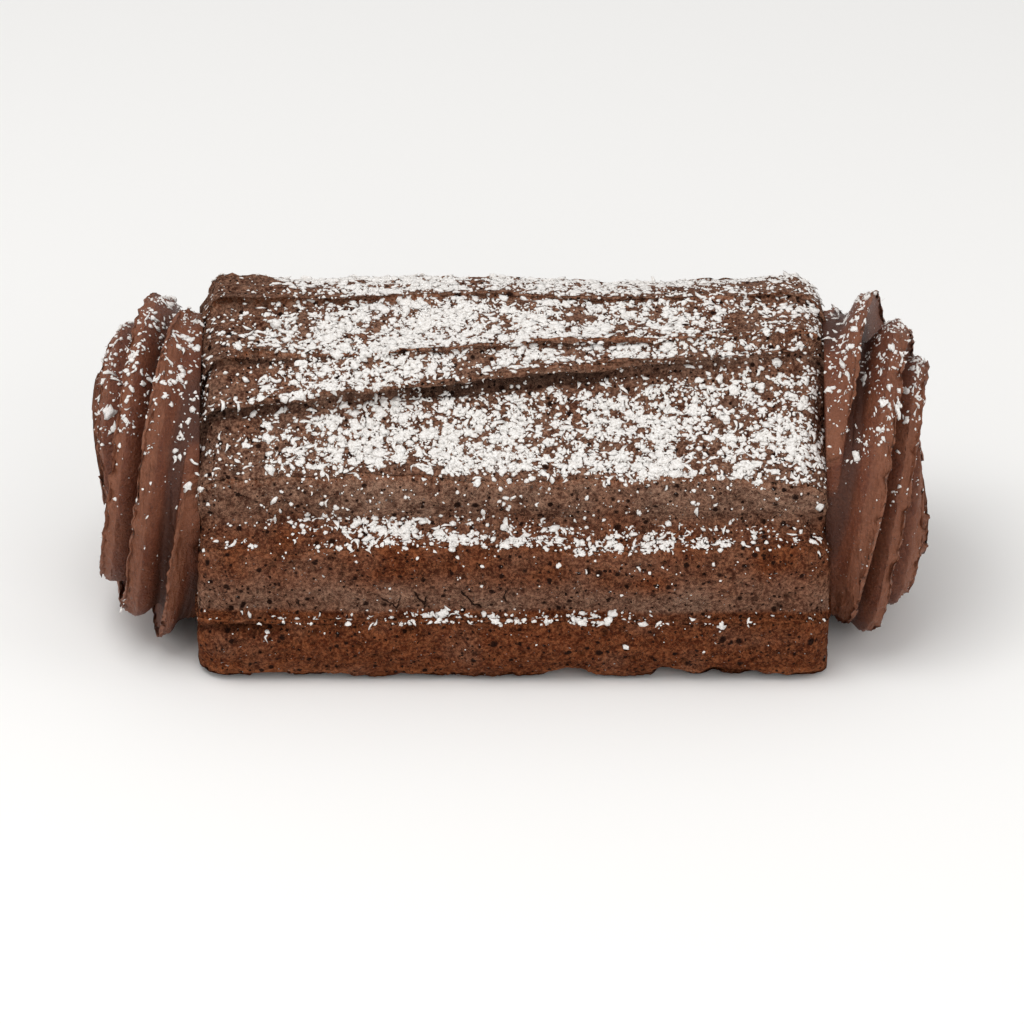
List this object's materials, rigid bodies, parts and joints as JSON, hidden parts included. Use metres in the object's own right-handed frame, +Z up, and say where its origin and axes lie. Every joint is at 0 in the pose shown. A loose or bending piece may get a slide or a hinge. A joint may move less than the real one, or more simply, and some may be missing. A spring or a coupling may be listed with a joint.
{
  "type": "yule log cake",
  "caption": "Chocolate yule log cake: a roll coated in stepped bands of buttercream, dusted with icing sugar, with a piped rosette on each end.",
  "frame": {"origin": "middle of the flat base of the log", "axes": "+X along the log to its right end, +Y to its back, +Z up"},
  "size_m": [0.2028, 0.0901, 0.0805],
  "materials": {
    "cream_coat": "matt chocolate buttercream with an open crumb, dusted with icing sugar",
    "piped_cream": "smooth satin chocolate buttercream, piped",
    "icing_sugar": "matt white sugar grains"
  },
  "bodies": {
    "root": {"roll": "cream_coat", "rosette_left": "piped_cream", "rosette_right": "piped_cream"}
  },
  "joints": []
}
